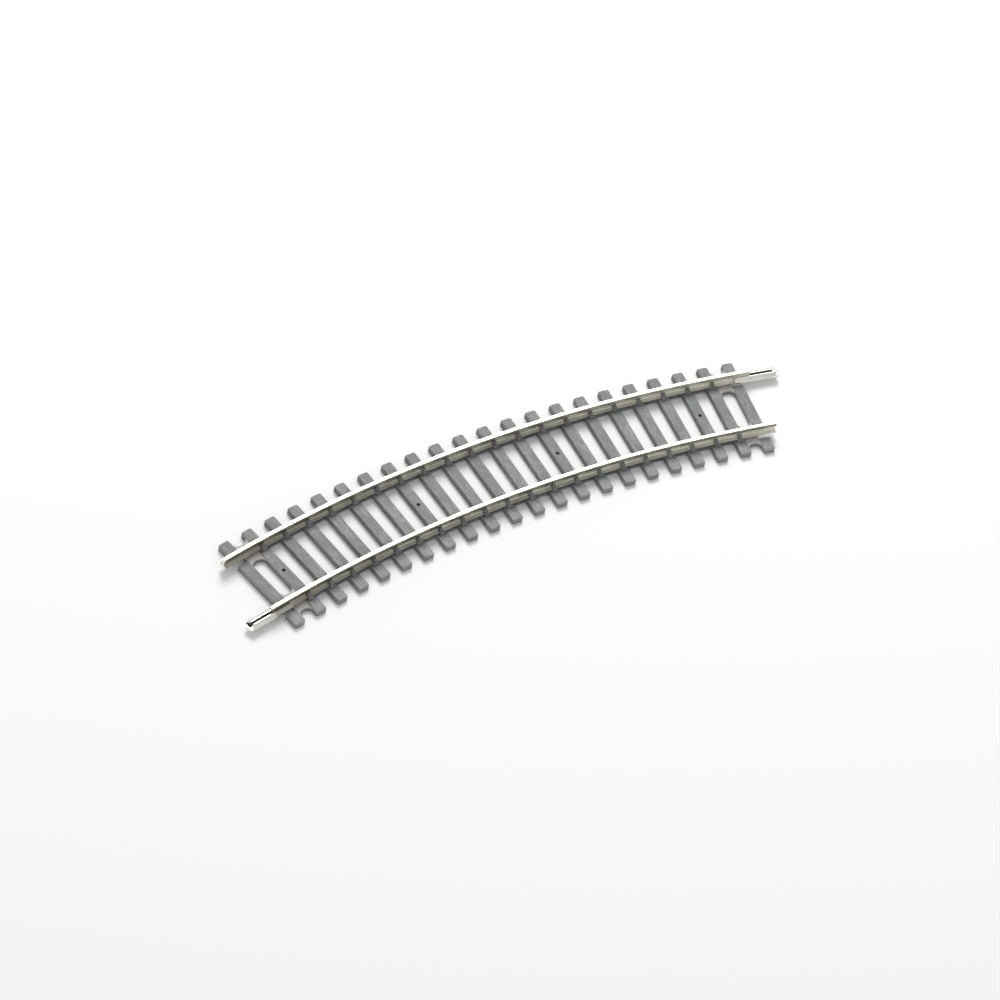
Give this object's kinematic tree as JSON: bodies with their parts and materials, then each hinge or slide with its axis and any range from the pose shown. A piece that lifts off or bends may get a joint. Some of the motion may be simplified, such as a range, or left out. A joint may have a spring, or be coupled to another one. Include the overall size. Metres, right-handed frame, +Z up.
{
  "type": "model railway curved track section",
  "caption": "Curved model railway track section: grey moulded sleeper base holding flat-bottomed metal rails in chairs, with folded metal joiners that slide on the rail ends.",
  "frame": {"origin": "middle of the underside, at the bottom centre of the bounding box, joiners included", "axes": "+X along the chord of the curve, +Y towards the outside of the curve, +Z up"},
  "size_m": [0.16, 0.0354, 0.0041],
  "materials": {
    "sleeper_plastic": "mid grey moulded plastic with a fine wood grain and a slight sheen",
    "rail_metal": "drawn nickel silver, bright and polished on the head and duller on the web and foot",
    "joiner_metal": "bright rolled nickel silver sheet"
  },
  "bodies": {
    "track": {"sleeper_base": "sleeper_plastic", "outer_rail": "rail_metal", "inner_rail": "rail_metal"},
    "outer_rail_joiner": {"outer_rail_joiner": "joiner_metal"},
    "inner_rail_joiner": {"inner_rail_joiner": "joiner_metal"}
  },
  "joints": [
    {"name": "outer_joiner_slide", "type": "slide", "parent": "track", "child": "outer_rail_joiner", "axis": [0.982, -0.1888, 0], "range_m": [-0.0037, 0.0051]},
    {"name": "inner_joiner_slide", "type": "slide", "parent": "track", "child": "inner_rail_joiner", "axis": [-0.9824, -0.1867, 0], "range_m": [-0.003, 0.0064]}
  ]
}
